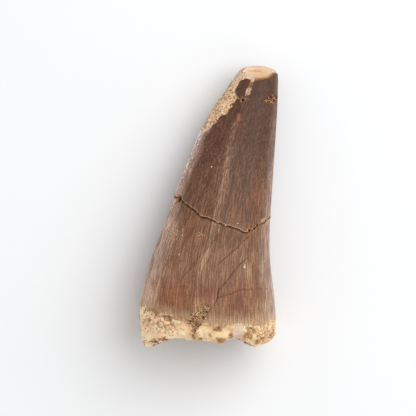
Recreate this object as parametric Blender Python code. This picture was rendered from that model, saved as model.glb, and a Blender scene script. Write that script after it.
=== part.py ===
"""A fossil mosasaur tooth crown, lying on its flatter side with its tip towards +Y.

The tooth is one solid. Its skin is a sphere whose rings are moved out to the tooth's sections. The two glued
breaks, the flaked front edge, the worn tip and the rough band of root are relief pressed into that skin.

Metres, +Z up. The tooth rests on z = 0, and the origin is under the middle of its box. The tables are in
millimetres. A place on the skin is given by its turn, the angle round the tooth from the rear edge (+X) over
the upper side (+Z), and by its y.
"""
import math

import bmesh
import bpy
import numpy as np
from mathutils import Matrix, Vector, noise

MM = 0.001
NAME = "tooth"
FULL_TURN = 2 * math.pi
UPPER, LOWER = 1, -1

# The sound tooth, before it was chipped: y, front edge x, rear edge x, lowest z, highest z.
SECTIONS = (
    (-28.0, -13.0, 12.9, 0.9, 18.4),
    (-24.5, -13.5, 13.4, 0.2, 19.7),
    (-21.5, -13.8, 13.3, -0.1, 20.1),
    (-17.0, -13.2, 12.9, -0.2, 19.8),
    (-10.7, -11.5, 12.2, -0.2, 18.4),
    (-4.5, -9.2, 12.1, -0.2, 16.8),
    (0.5, -7.4, 12.4, -0.2, 15.5),
    (6.2, -5.4, 12.8, -0.1, 14.1),
    (10.8, -3.3, 13.1, 0.1, 13.1),
    (15.5, -1.4, 13.4, 0.6, 12.1),
    (19.0, 0.4, 13.6, 1.1, 11.3),
    (22.5, 3.0, 13.7, 1.7, 10.5),
    (25.2, 5.1, 13.7, 2.4, 9.9),
    (26.3, 5.9, 13.5, 2.8, 9.6),
    (27.0, 6.8, 12.6, 3.1, 9.4),
)
SQUARENESS = 2.25  # the power of each section's curve, where 2 is an ellipse
WIDEST = 0.46  # how far up its thickness a section is widest
TIP_BULGE = 0.5
TIP_CENTRE = 5.2  # z

# Long flats run between these turns, in degrees, as on every tooth of this kind.
RIDGES = (12, 51, 96, 141, 164, 205, 243, 289, 333)
FLAT_SAG, FLAT_SAG_AT = 0.30, 13.0  # how far a flat lies under the round, on a section of this half width
RIDGE_ROUND = 0.04
THINNEST = 0.5

# The worn facet of the tip: a plane through this place, in mm, that falls by these shares towards +X and +Y.
FACET_X, FACET_Y, FACET_Z = 9.7, 24.5, 10.1
FACET_TILT, FACET_FALL = 0.15, 1.3

# Lines round the tooth, as (x, y) points over the upper side from front to rear, and back under it.
RIM = (
    ((-13.1, -27.3), (-12.5, -27.5), (-10.1, -26.8), (-8.2, -26.2), (-5.1, -26.0), (-4.5, -26.3),
     (1.4, -26.7), (3.3, -26.9), (3.9, -26.2), (6.6, -26.0), (7.7, -26.5), (10.2, -27.4), (12.4, -26.6),
     (13.2, -25.6)),
    ((11.0, -25.4), (6.0, -25.9), (3.0, -25.1), (-3.0, -25.5), (-7.0, -24.8), (-11.0, -25.9)),
)
MARGIN = (
    ((-13.4, -19.5), (-12.2, -19.6), (-10.1, -20.4), (-7.2, -21.5), (-5.5, -22.3), (-1.2, -22.9),
     (5.5, -22.8), (9.1, -23.2), (12.0, -22.8), (13.0, -21.4)),
    ((11.0, -21.6), (7.0, -22.4), (4.0, -22.7), (0.0, -21.6), (-4.0, -22.4), (-8.0, -21.2), (-11.5, -20.8)),
)
BREAK = (
    ((-6.8, 2.1), (-5.8, 1.4), (-4.9, 0.7), (-2.8, -0.9), (-1.6, -2.0), (0.1, -2.5), (2.0, -3.4),
     (5.5, -4.4), (7.0, -5.2), (7.7, -5.2), (9.7, -3.8), (11.1, -3.2), (12.2, -1.6)),
    ((9.5, -0.8), (6.0, 0.3), (2.5, 0.9), (-1.5, 1.9), (-4.5, 1.6)),
)
TIP_BREAK = (
    ((3.2, 21.0), (5.0, 20.8), (6.6, 20.5), (8.5, 20.4), (10.8, 20.5), (12.2, 20.8), (13.6, 21.0)),
    ((11.0, 20.6), (8.0, 21.2), (5.0, 20.8)),
)
# Past this line towards the tip the enamel has flaked or worn away.
FLAKE = (
    ((-1.0, 14.1), (-0.1, 14.5), (0.7, 15.7), (1.6, 16.2), (2.0, 16.9), (3.2, 17.6), (4.1, 18.4),
     (4.7, 19.9), (5.5, 20.8), (7.1, 20.7), (7.9, 21.6), (8.3, 22.5), (8.5, 23.2), (9.0, 23.9), (10.2, 24.9),
     (12.6, 25.5), (13.6, 25.9)),
    ((11.0, 25.2), (8.5, 24.6), (6.5, 23.2), (5.5, 21.3), (3.6, 19.6), (1.6, 18.0), (0.2, 16.3)),
)

# Patches on the upper side, as closed outlines of (x, y) points.
ISLAND = ((6.9, 24.7), (8.2, 24.6), (7.9, 23.6), (7.4, 22.6), (7.0, 21.2), (6.5, 20.8), (5.5, 21.2),
          (5.1, 22.2), (5.8, 23.8))
GASH = ((10.8, 20.5), (11.8, 21.3), (13.2, 21.8), (13.5, 20.8), (12.7, 20.1))
SCAR = ((-4.1, -22.4), (-3.2, -21.0), (-2.0, -20.0), (0.2, -19.2), (-0.5, -21.7), (-1.6, -23.4),
        (-2.9, -24.7))

# Small hollows on the upper side: x, y, radius, depth.
PITS = (
    (-5.8, 1.3, 0.75, 0.8),
    (8.1, -4.9, 0.65, 0.45),
    (9.8, -3.8, 0.50, 0.45),
    (6.6, 20.5, 0.45, 0.5),
    (-8.0, -21.9, 0.90, 0.5),
    (9.2, -24.3, 0.90, 0.5),
    (-2.7, -23.0, 0.80, 0.5),
    (2.2, -23.9, 0.70, 0.35),
)

FLAKE_DEPTH, FLAKE_STEP = 0.45, 0.5
MARGIN_DEPTH, MARGIN_STEP = 0.25, 0.5
SCAR_DEPTH = 0.35
GASH_DEPTH = 0.55
BREAK_DEPTH, BREAK_WIDTH = 0.50, 0.50
TIP_BREAK_DEPTH, TIP_BREAK_WIDTH = 0.18, 0.32
BARE_ROUGHNESS, BARE_GRAIN = 0.16, 1.4
ROOT_ROUGHNESS, ROOT_GRAIN = 0.35, 2.6
RIM_ROUNDING, RIM_REACH = 0.35, 0.8

# The broken lower end: a shallow hollow where the pulp was, filled with sand.
HOLLOW_DEPTH, HOLLOW_EDGE = 2.2, 0.45  # the edge is a share of the way in from the rim
END_ROUGHNESS, END_GRAIN, END_EDGE = 0.55, 3.0, 0.25

# Places to read the noise from, so that no two roughnesses are alike.
BARE_SEED, ROOT_SEED, END_SEED, FINER_SEED = 3, 11, 23, 7
FINER, FINER_SHARE = 2.3, 0.5

# The sphere's rows that make the two ends, and the mesh before and after it is thinned.
SEGMENTS, ROWS = 288, 232
BASE_SHARE, TIP_SHARE = 0.09, 0.05
CROWDING = 0.85  # how much closer the rows stand beside the rim, the breaks and the tip
FACES = 9300

RED_BROWN = (0.19, 0.105, 0.070, 1)
ROUGHNESS = 0.4
BED = 60.0  # side of the block that levels the resting face


def through(table, y):
    """The columns of a table at each y, on a smooth curve through its rows."""
    table = np.array(table)
    station, value = table[:, 0], table[:, 1:]
    slope = np.gradient(value, station, axis=0)
    i = np.clip(np.searchsorted(station, y) - 1, 0, len(station) - 2)
    gap = (station[i + 1] - station[i])[:, None]
    t = (y[:, None] - station[i][:, None]) / gap
    start = value[i] * (1 + 2 * t) + slope[i] * gap * t
    end = value[i + 1] * (3 - 2 * t) + slope[i + 1] * gap * (t - 1)
    return (start * (1 - t) ** 2 + end * t**2).T


def smooth(x):
    x = np.clip(x, 0, 1)
    return x * x * (3 - 2 * x)


def section(y):
    """At each y: the centre's x and z, half the width, and the heights above and below the centre."""
    front, rear, low, high = through(SECTIONS, y)
    centre_z = low + WIDEST * (high - low)
    return (front + rear) / 2, centre_z, (rear - front) / 2, high - centre_z, centre_z - low


def sound_radius(turn, y):
    """From the centre to the unchipped skin, with its long flats."""
    _, _, half, above, below = section(y)
    tall = np.where(np.sin(turn) > 0, above, below)
    curve = np.abs(np.cos(turn) / half) ** SQUARENESS + np.abs(np.sin(turn) / tall) ** SQUARENESS
    ridges = np.radians(np.array(RIDGES))
    ridges = np.append(ridges, ridges[0] + FULL_TURN)
    place = (turn - ridges[0]) % FULL_TURN + ridges[0]
    share = np.interp(place, ridges, np.arange(len(ridges)))
    sag = np.sqrt(np.sin(math.pi * share) ** 2 + RIDGE_ROUND) - math.sqrt(RIDGE_ROUND)
    return curve ** (-1 / SQUARENESS) - FLAT_SAG * sag * half / FLAT_SAG_AT


def turns(points, side):
    """(x, y) points seen from above or below, as (turn, y) places on the skin."""
    x, y = np.array(points).T
    centre_x, _, half, above, below = section(y)
    across = np.clip((x - centre_x) / half, -1, 1)
    tall = above if side == UPPER else below
    up = side * tall * (1 - np.abs(across) ** SQUARENESS) ** (1 / SQUARENESS)
    return np.stack([np.arctan2(up, across * half) % FULL_TURN, y], axis=1)


def loop(line):
    """A line round the tooth as (turn, y) places, by rising turn."""
    places = np.concatenate([turns(line[0], UPPER), turns(line[1], LOWER)])
    return places[np.argsort(places[:, 0])]


def height_on(line, turn):
    places = loop(line)
    return np.interp(turn, places[:, 0], places[:, 1], period=FULL_TURN)


def distance(places, turn, y, radius):
    """From each point of the skin to a run of (turn, y) places, measured over the skin."""
    nearest = np.full(len(turn), np.inf)
    for (turn_a, y_a), (turn_b, y_b) in zip(places, places[1:]):
        from_a = (turn - turn_a + math.pi) % FULL_TURN - math.pi
        run = ((turn_b - turn_a + math.pi) % FULL_TURN - math.pi) * radius
        rise = y_b - y_a
        along = (from_a * radius * run + (y - y_a) * rise) / np.maximum(run**2 + rise**2, 1e-9)
        along = np.clip(along, 0, 1)
        gap = np.hypot(from_a * radius - along * run, y - y_a - along * rise)
        nearest = np.minimum(nearest, gap)
    return nearest


def line_distance(line, turn, y, radius):
    places = loop(line)
    return distance(np.concatenate([places, places[:1]]), turn, y, radius)


def beyond(line, turn, y, radius):
    """How far past a line round the tooth each point is, towards the tip."""
    return np.sign(y - height_on(line, turn)) * line_distance(line, turn, y, radius)


def inside(outline, turn, y, radius):
    """How far inside a patch of the upper side each point is. It is negative outside."""
    places = turns(outline, UPPER)
    places = np.concatenate([places, places[:1]])
    within = np.zeros(len(turn), bool)
    for (turn_a, y_a), (turn_b, y_b) in zip(places, places[1:]):
        if y_a != y_b:
            crossing = turn_a + (y - y_a) * (turn_b - turn_a) / (y_b - y_a)
            within ^= ((y_a > y) != (y_b > y)) & (turn < crossing)
    return np.where(within, 1, -1) * distance(places, turn, y, radius)


def grain(points, size, seed):
    """Noise from -1 to 1, with lumps of the given size."""
    return np.array([noise.noise(Vector(p) / size + Vector((seed, 0, 0))) for p in points])


def lumps(points, size, seed):
    """Noise with finer lumps on the coarse ones."""
    return grain(points, size, seed) + FINER_SHARE * grain(points, size / FINER, seed + FINER_SEED)


def rows_to_y(turn, share):
    """The y of each row, so that rows follow the rim, both breaks and the tip, and crowd beside them."""
    lines = [height_on(RIM, turn), height_on(BREAK, turn), height_on(TIP_BREAK, turn), SECTIONS[-1][0]]
    part = share * (len(lines) - 1)
    y = np.zeros(len(share))
    for i, (low, high) in enumerate(zip(lines, lines[1:])):
        t = np.clip(part - i, 0, 1)
        eased = t - CROWDING * np.sin(FULL_TURN * t) / FULL_TURN
        y = np.where(part >= i, low + (high - low) * eased, y)
    return y


def relief(turn, y, radius, sound):
    """How far the skin lies under the sound tooth at each point."""
    bare = np.minimum(beyond(FLAKE, turn, y, radius), -inside(ISLAND, turn, y, radius))
    root = -beyond(MARGIN, turn, y, radius)
    scar = inside(SCAR, turn, y, radius)
    gash = inside(GASH, turn, y, radius)
    cut = line_distance(BREAK, turn, y, radius)
    tip_cut = line_distance(TIP_BREAK, turn, y, radius)
    sand = grain(sound, BARE_GRAIN, BARE_SEED)
    depth = smooth(bare / FLAKE_STEP) * (FLAKE_DEPTH + BARE_ROUGHNESS * sand)
    root_lumps = lumps(sound, ROOT_GRAIN, ROOT_SEED)
    depth += smooth(root / MARGIN_STEP) * (MARGIN_DEPTH + ROOT_ROUGHNESS * root_lumps)
    depth += smooth(scar / MARGIN_STEP) * (SCAR_DEPTH + BARE_ROUGHNESS * sand)
    depth += smooth(gash / FLAKE_STEP) * (GASH_DEPTH + BARE_ROUGHNESS * sand)
    depth += BREAK_DEPTH * smooth(1 - cut / BREAK_WIDTH)
    depth += TIP_BREAK_DEPTH * smooth(1 - tip_cut / TIP_BREAK_WIDTH)
    for x_pit, y_pit, reach, hollow in PITS:
        place = turns(((x_pit, y_pit),), UPPER)
        depth += hollow * smooth(1 - distance(np.repeat(place, 2, axis=0), turn, y, radius) / reach)
    return depth


def tooth_points(turn, row):
    """Every point of the tooth, in millimetres, from its turn and its row's share of the way to the tip."""
    share = np.clip((row - BASE_SHARE) / (1 - BASE_SHARE - TIP_SHARE), 0, 1)
    y = rows_to_y(turn, share)
    centre_x, centre_z, *_ = section(y)
    ray = np.stack([np.cos(turn), np.zeros(len(turn)), np.sin(turn)], axis=1)
    centre = np.stack([centre_x, y, centre_z], axis=1)
    radius = sound_radius(turn, y)
    radius -= relief(turn, y, radius, centre + ray * radius[:, None])

    from_rim = y - height_on(RIM, turn)
    radius -= RIM_ROUNDING * (1 - smooth(from_rim / RIM_REACH))
    facet = FACET_Z - FACET_FALL * (y - FACET_Y) - FACET_TILT * (centre_x - FACET_X)
    rise = np.sin(turn) + FACET_TILT * np.cos(turn)  # of a ray above the facet's plane, for each millimetre
    to_facet = np.maximum((facet - centre_z) / np.maximum(rise, 1e-3), THINNEST)
    radius = np.where(rise > 0, np.minimum(radius, to_facet), radius)

    inward = np.clip(row / BASE_SHARE, 0, 1) * np.clip((1 - row) / TIP_SHARE, 0, 1)
    points = centre + ray * (radius * inward)[:, None]

    on_base = row < BASE_SHARE
    middle = np.average(y[on_base])
    points[:, 1] = np.where(on_base, middle + (y - middle) * smooth(inward), points[:, 1])
    hollow = HOLLOW_DEPTH * smooth((1 - inward) / HOLLOW_EDGE)
    rough = END_ROUGHNESS * lumps(points, END_GRAIN, END_SEED) * smooth((1 - inward) / END_EDGE)
    points[:, 1] += np.where(on_base, hollow + rough, 0)
    on_tip = row > 1 - TIP_SHARE
    points[:, 1] += np.where(on_tip, TIP_BULGE * (1 - inward**2), 0)
    points[:, 2] = np.where(on_tip, TIP_CENTRE + (points[:, 2] - TIP_CENTRE) * inward, points[:, 2])
    return points


def material():
    made = bpy.data.materials.new("brown enamel")
    made.use_nodes = True
    shader = made.node_tree.nodes["Principled BSDF"]
    shader.inputs["Base Color"].default_value = RED_BROWN
    shader.inputs["Roughness"].default_value = ROUGHNESS
    return made


def block(name, side, top, collection):
    """A cutter: a block whose upper face is at z = top."""
    mesh = bpy.data.meshes.new(name)
    built = bmesh.new()
    bmesh.ops.create_cube(built, size=side, matrix=Matrix.Translation((0, 0, top - side / 2)))
    built.to_mesh(mesh)
    built.free()
    cutter = bpy.data.objects.new(name, mesh)
    cutter.hide_render = True
    cutter.display_type = "WIRE"
    collection.objects.link(cutter)
    return cutter


def tooth(collection, cutters):
    built = bmesh.new()
    lying = Matrix.Rotation(-math.pi / 2, 4, "X")  # the sphere's poles on the Y axis
    bmesh.ops.create_uvsphere(built, u_segments=SEGMENTS, v_segments=ROWS, radius=1, matrix=lying)
    unit = np.array([vertex.co for vertex in built.verts])
    turn = np.arctan2(unit[:, 2], unit[:, 0]) % FULL_TURN
    row = np.arccos(np.clip(-unit[:, 1], -1, 1)) / math.pi
    for vertex, point in zip(built.verts, tooth_points(turn, row)):
        vertex.co = Vector(point) * MM
    mesh = bpy.data.meshes.new(NAME)
    built.to_mesh(mesh)
    built.free()
    mesh.shade_smooth()
    mesh.materials.append(material())
    made = bpy.data.objects.new(NAME, mesh)
    collection.objects.link(made)

    thinned = made.modifiers.new("thinned", "DECIMATE")
    thinned.ratio = FACES / (2 * SEGMENTS * (ROWS - 1))
    level = made.modifiers.new("resting face", "BOOLEAN")
    level.operation = "DIFFERENCE"
    level.object = block("bed", BED * MM, 0, cutters)
    return made


def main():
    for old in list(bpy.data.objects):
        bpy.data.objects.remove(old)
    collection = bpy.data.collections.new("mosasaur tooth")
    cutters = bpy.data.collections.new("cutters")
    bpy.context.scene.collection.children.link(collection)
    bpy.context.scene.collection.children.link(cutters)
    tooth(collection, cutters)


main()
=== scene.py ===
"""The looks of the fossil mosasaur tooth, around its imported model.

The tooth is drawn as the three fragments that were glued together: the lower crown with its band of root,
the middle, and the tip. Each is a sphere whose rings are moved out to the tooth's skin, with the breaks as
its ends. Sand grains and beads of glue are meshes of their own, sitting on the fragments.

The tables are in millimetres, in the model's own frame: +Y towards the tip, +X towards the rear edge, and
+Z up. A place on the skin is given by its turn, the angle round the tooth from the rear edge over the upper
side, and its y.
"""
import math

import bmesh
import bpy
import numpy as np
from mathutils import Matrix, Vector, noise


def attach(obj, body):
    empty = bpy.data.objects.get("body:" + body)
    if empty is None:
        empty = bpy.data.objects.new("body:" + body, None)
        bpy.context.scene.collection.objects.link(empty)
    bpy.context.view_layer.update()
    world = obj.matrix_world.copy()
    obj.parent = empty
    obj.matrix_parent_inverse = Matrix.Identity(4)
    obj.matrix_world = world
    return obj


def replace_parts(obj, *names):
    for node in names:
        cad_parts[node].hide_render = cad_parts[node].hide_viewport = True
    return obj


MM = 0.001
FULL_TURN = 2 * math.pi
UPPER, LOWER = 1, -1

# ---- the tooth's shape

# The sound tooth, before it was chipped: y, front edge x, rear edge x, lowest z, highest z.
SECTIONS = (
    (-28, -13, 12.9, 0.9, 18.4),
    (-24.5, -13.5, 13.4, 0.2, 19.7),
    (-21.5, -13.8, 13.3, -0.1, 20.1),
    (-17, -13.2, 12.9, -0.2, 19.8),
    (-10.7, -11.5, 12.2, -0.2, 18.4),
    (-4.5, -9.2, 12.1, -0.2, 16.8),
    (0.5, -7.4, 12.4, -0.2, 15.5),
    (6.2, -5.4, 12.8, -0.1, 14.1),
    (10.8, -3.3, 13.1, 0.1, 13.1),
    (15.5, -1.4, 13.4, 0.6, 12.1),
    (19, 0.4, 13.6, 1.1, 11.3),
    (22.5, 3, 13.7, 1.7, 10.5),
    (25.2, 5.1, 13.7, 2.4, 9.9),
    (26.3, 5.9, 13.5, 2.8, 9.6),
    (27, 6.8, 12.6, 3.1, 9.4),
)
SQUARENESS = 2.25  # the power of each section's curve, where 2 is an ellipse
WIDEST = 0.46  # how far up its thickness a section is widest
TIP_Y = 27.0
TIP_BULGE = 0.5
TIP_CENTRE = 5.2  # z
UPPER_FROM = 5.2  # the z above which a point is on the upper side, anywhere along the tooth

# Long flats run between these turns, in degrees.
RIDGES = (12, 51, 96, 141, 164, 205, 243, 289, 333)
FLAT_SAG, FLAT_SAG_AT = 0.3, 13  # how far a flat lies under the round, on a section of this half width
RIDGE_ROUND = 0.04

# The worn facet of the tip: a plane through this place, that falls by these shares towards +X and +Y.
FACET_X, FACET_Y, FACET_Z = 9.7, 24.5, 10.1
FACET_TILT, FACET_FALL = 0.15, 1.3
FACET_ROUND = 0.6
THINNEST, LEAST_RISE = 0.5, 1e-3  # from a section's centre to the facet, and of a ray over its plane

# Lines round the tooth, as (x, y) points over the upper side from front to rear, and back under it.
RIM = (
    ((-13.1, -27.4), (-12.8, -27.6), (-12.2, -27.2), (-11, -26.8), (-10.1, -26.6), (-8.7, -26.1),
     (-7.9, -25.7), (-5.1, -25.6), (-4.5, -26), (-1.1, -26.1), (0.6, -26.2), (1.4, -26.5), (3, -26.7),
     (3.7, -26), (5.7, -25.6), (6.6, -25.7), (7.7, -26.3), (8.5, -26.5), (9.2, -27.1), (10.2, -27.5),
     (10.9, -27.1), (11.7, -26.8), (12.4, -26.5), (13.2, -25.6)),
    ((11, -25.4), (6, -25.9), (3, -25.1), (-3, -25.5), (-7, -24.8), (-11, -25.9)),
)
MARGIN = (
    ((-13.4, -19.5), (-12.2, -19.6), (-11.2, -20), (-10.1, -20.4), (-8.4, -20.9), (-7.2, -21.2),
     (-6.4, -21.5), (-5.5, -21.9), (-4.1, -21.9), (-1.2, -22.9), (2.4, -23), (5.5, -22.8), (7.2, -22.9),
     (9.1, -23.2), (10.7, -22.9), (12, -22.8), (12.6, -22.6), (13, -22)),
    ((11, -21.6), (7, -22.4), (4, -22.7), (0, -21.6), (-4, -22.4), (-8, -21.2), (-11.5, -20.8)),
)
BREAK = (
    ((-6.8, 2.1), (-5.8, 1.4), (-4.9, 0.7), (-2.8, -0.9), (-1.6, -2), (0.1, -2.5), (2, -3.4),
     (3.3, -3.8), (5.5, -4.4), (7, -5.2), (7.7, -5.2), (8.3, -4.9), (9.7, -3.8), (11.1, -3.2),
     (12.2, -1.6)),
    ((9.5, -0.8), (6, 0.3), (2.5, 0.9), (-1.5, 1.9), (-4.5, 1.6)),
)
TIP_BREAK = (
    ((3.2, 21), (5, 20.8), (6.6, 20.5), (8.5, 20.4), (10.8, 20.5), (12.2, 20.8), (13.6, 21)),
    ((11, 20.6), (8, 21.2), (5, 20.8)),
)
# Past this line towards the tip the enamel has flaked or worn away.
FLAKE = (
    ((-1, 14.5), (-0.3, 14.6), (0.3, 15.1), (0.7, 15.7), (1.6, 16.2), (2, 16.9), (2.3, 17.5),
     (3.2, 17.6), (3.7, 17.9), (4.1, 18.4), (4.3, 19.2), (4.7, 19.9), (5.5, 20.8), (7.1, 20.7), (7.3, 21.1),
     (7.8, 21.6), (8.2, 22.3), (8.4, 23.2), (8.8, 24), (9.3, 25), (10.4, 25.8), (12, 25.9),
     (13.6, 25.8)),
    ((11, 25.2), (8.5, 24.6), (6.5, 23.2), (5.5, 21.3), (3.6, 19.6), (1.6, 18), (0.2, 16.3)),
)

# Patches, as closed outlines of (x, y) points: enamel left on the bare tip, a gash, a scar, and enamel left
# under the tip, which goes on past its outline by the spread.
ISLAND = ((7.1, 24.7), (8.2, 24.7), (8.1, 23.6), (7.6, 22.9), (7.3, 22.2), (7, 21.2), (6.6, 20.8),
          (5.8, 21.2), (5.2, 22.1), (5.3, 22.7), (5.8, 23.8), (6.3, 24.4))
GASH = ((10.6, 20.4), (11.7, 21.4), (12.8, 21.8), (13.6, 22), (13.6, 20.6), (12.7, 20), (11.8, 20))
SCAR = ((-4.1, -22.1), (-3.2, -21), (-2, -20), (-0.7, -19.4), (0.2, -19.1), (0.1, -20),
        (-0.5, -21.7), (-1.2, -22.9), (-2, -23.6), (-2.9, -24.7), (-3.4, -23.6), (-4.2, -22.6))
TIP_RIM = ((3.8, 23), (4.4, 24.4), (5.5, 25.9), (6.6, 27), (8.4, 27), (8.1, 26.3), (7.2, 25.7),
           (6.7, 24.9), (5.7, 24.4), (5.2, 23.5))
TIP_RIM_SPREAD = 0.3

# Small hollows on the upper side: x, y, radius, depth.
PITS = ((-6, 1.15, 1.1, 0.8), (8.1, -4.9, 0.65, 0.45), (9.8, -3.8, 0.55, 0.45), (6.65, 20.5, 0.48, 0.8),
        (7.5, 20.6, 0.35, 0.2))
ROOT_PITS = ((-8, -21.9, 0.9, 0.5), (9.2, -24.3, 0.9, 0.5), (-2.7, -23, 0.8, 0.5), (2.2, -23.9, 0.7, 0.35))

# How far bare dentine, root, scar and gash lie under the sound skin, and how wide the step down to them is.
FLAKE_DEPTH, FLAKE_STEP = 0.45, 0.22
MARGIN_DEPTH, MARGIN_STEP = 0.25, 0.35
SCAR_DEPTH, GASH_DEPTH, PATCH_STEP = 0.35, 0.55, 0.3
# The coarse lumps of the root and of the base end: height, size and seed. Finer ones lie on them.
ROOT_LUMPS, END_LUMPS = (0.35, 2.6, 11), (0.55, 3, 23)
FINER, FINER_SHARE, FINER_SEED = 2.3, 0.5, 7  # how much smaller and lower those are, and their seed's lead
SMOOTH_ROOT = 0.3  # the share of the root's finer relief on the upper side, away from its broken marks
RIM_ROUNDING, RIM_REACH = 0.35, 0.8  # how far the rim is drawn in, and from where
HOLLOW_DEPTH = 2.2
HOLLOW_EDGE, END_EDGE = 0.45, 0.25  # where the hollow and an end's lumps are full, as shares of the way in

# Noises: the seed of the first layer, which goes up by one for each, then each layer's height and size. The
# heights of an edge say how far it wanders from its line.
NOISES = {
    "bare": (3, (0.16, 1.4)),
    "bare edge": (50, (0.2, 0.9), (0.1, 0.35)),
    "root edge": (54, (0.55, 1.9), (0.25, 0.6)),
    "scar edge": (58, (0.2, 0.9), (0.1, 0.35)),
    "gash edge": (62, (0.2, 0.9), (0.1, 0.35)),
    "sand": (66, (0.14, 0.62), (0.08, 0.34)),
    "root": (70, (0.12, 0.95), (0.07, 0.42)),
    "base end": (70, (0.34, 1.5), (0.16, 0.8)),
    "chipping": (74, (1.1, 0.8)),
    "break edge": (80, (0.16, 1.1), (0.07, 0.35)),
    "break": (84, (0.22, 1.6), (0.08, 0.5)),
    "marks": (90, (0.34, 1.1), (0.3, 0.38)),
    "pale edge": (95, (0.7, 2.5)),
    "pale under": (97, (1.6, 1.8), (0.9, 0.6)),
}
EDGE_NEAR = {"bare": 1, "root": 3, "scar": 1, "gash": 1}  # past this an edge's wandering is left out

# Striations: fine ridges along the crown, as (height, width across, length).
STRIATIONS = ((0.02, 0.42, 9), (0.012, 0.3, 5), (0.03, 2.2, 16))
STRIATION_SEED = 40
STRIATION_RADIUS = 9  # of the round that they are laid out on

# The two breaks, by the end they give a fragment: the gap, and how deep and how wide its edges are worn.
GLUED_END, CLOSED_END = "glued", "closed"
BREAKS = {GLUED_END: (0.08, 0.1, 0.15), CLOSED_END: (0.02, 0.02, 0.06)}
LEAST_CHIPPED, MOST_CHIPPED = 0.2, 2  # how unevenly they are worn
FAR = 9  # stands for a distance too great to matter
TINY = 1e-9  # is divided by in place of 0

# Pale streaks along the crests of the upper side, as (x, y) points, half their width, and their strength.
STREAKS = (
    (((5.5, 17.6), (4.9, 14.9), (4.5, 13.6), (3.8, 10.3), (3.5, 7.2), (2.1, 1.1), (0.1, -7.3),
      (-1.1, -11.5), (-1.8, -13.4)), 0.55, 0.62),
    (((4.3, 12.6), (3.6, 8.4), (2.3, 1.1), (0.6, -5)), 1.2, 0.38),
    (((-8.4, -9.3), (-9.5, -13.6), (-10.1, -16.7), (-10.4, -19.9)), 0.45, 0.6),
    (((7.8, -8.3), (7.6, -14.6), (8.1, -17.7), (8.5, -20.8)), 0.6, 0.42),
    (((-0.9, -10.5), (-1.1, -11.5), (-2, -14), (-2.15, -17), (-2.1, -21)), 0.6, 0.42),
    (((-2, -17.2), (-1.9, -23)), 0.9, 0.8),
    (((10.4, -17.6), (10.6, -26)), 2.2, 0.6),
    (((-11.4, -16.6), (-11, -26)), 1.8, 0.7),
)
STREAK_FADE = 2  # at its ends
# The pale strips are pale enamel with a painted reflection of the bright floor over them.
# The pale edges of the crown: (y, width) of both strips, and (y, strength) of the rear one.
PALE_EDGE = ((-23, 3), (-19, 2.9), (-15, 2.3), (-10, 3.6), (-6, 3.5), (-2, 2.1), (3, 1.9), (14, 2), (27, 1))
REAR_PALENESS = ((-23, 0.58), (-14, 0.62), (5, 0.6), (14, 0.38), (27, 0.36))
PALE_SPREAD = 1.5  # how many of its widths a strip takes to fade out
FRONT_PALE_TO, FRONT_PALE_FADE = 20, 3  # the y at which the front strip ends, and its fade
PALE_UNDER, PALE_FADE = 5, 4  # how far under the widest line both end, and their fade

# Hairline cracks of the upper side, as runs of (x, y) points.
HAIRLINES = (
    ((7.5, -10.2), (6.6, -10.9), (5.7, -11.8), (4.7, -13.1), (4.1, -14), (2.9, -15.4), (2, -16.3),
     (1.7, -17.9), (1.5, -18.5), (1, -19.4), (-0.2, -20.5)),
    ((1.7, -17.9), (2.8, -17.5), (4.6, -17), (5.5, -16.5), (6.4, -16.2), (7.4, -16.3), (8.5, -16.2)),
    ((7.8, -6), (6.6, -7.1), (5.6, -8.2), (4.3, -9.3), (3.7, -9.9), (2.8, -10.5), (1.8, -11.6)),
)
FAINT_LINES = (
    ((2.7, -4), (1.1, -6.8), (-1.6, -9.7), (-3.6, -12.2), (-5.6, -14.6)),
    ((-9.7, -15.8), (-6.6, -15.7), (-3.6, -15.7)),
    ((7.7, -16.2), (9.8, -16.1), (11.8, -16.2)),
)
SWIRL_X, SWIRL_Y, SWIRL_RADIUS = -9.46, -22.97, 0.62  # a ring in the root's matrix
HAIRLINE_DEPTH, HAIRLINE_WIDTH = 0.04, 0.12

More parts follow.
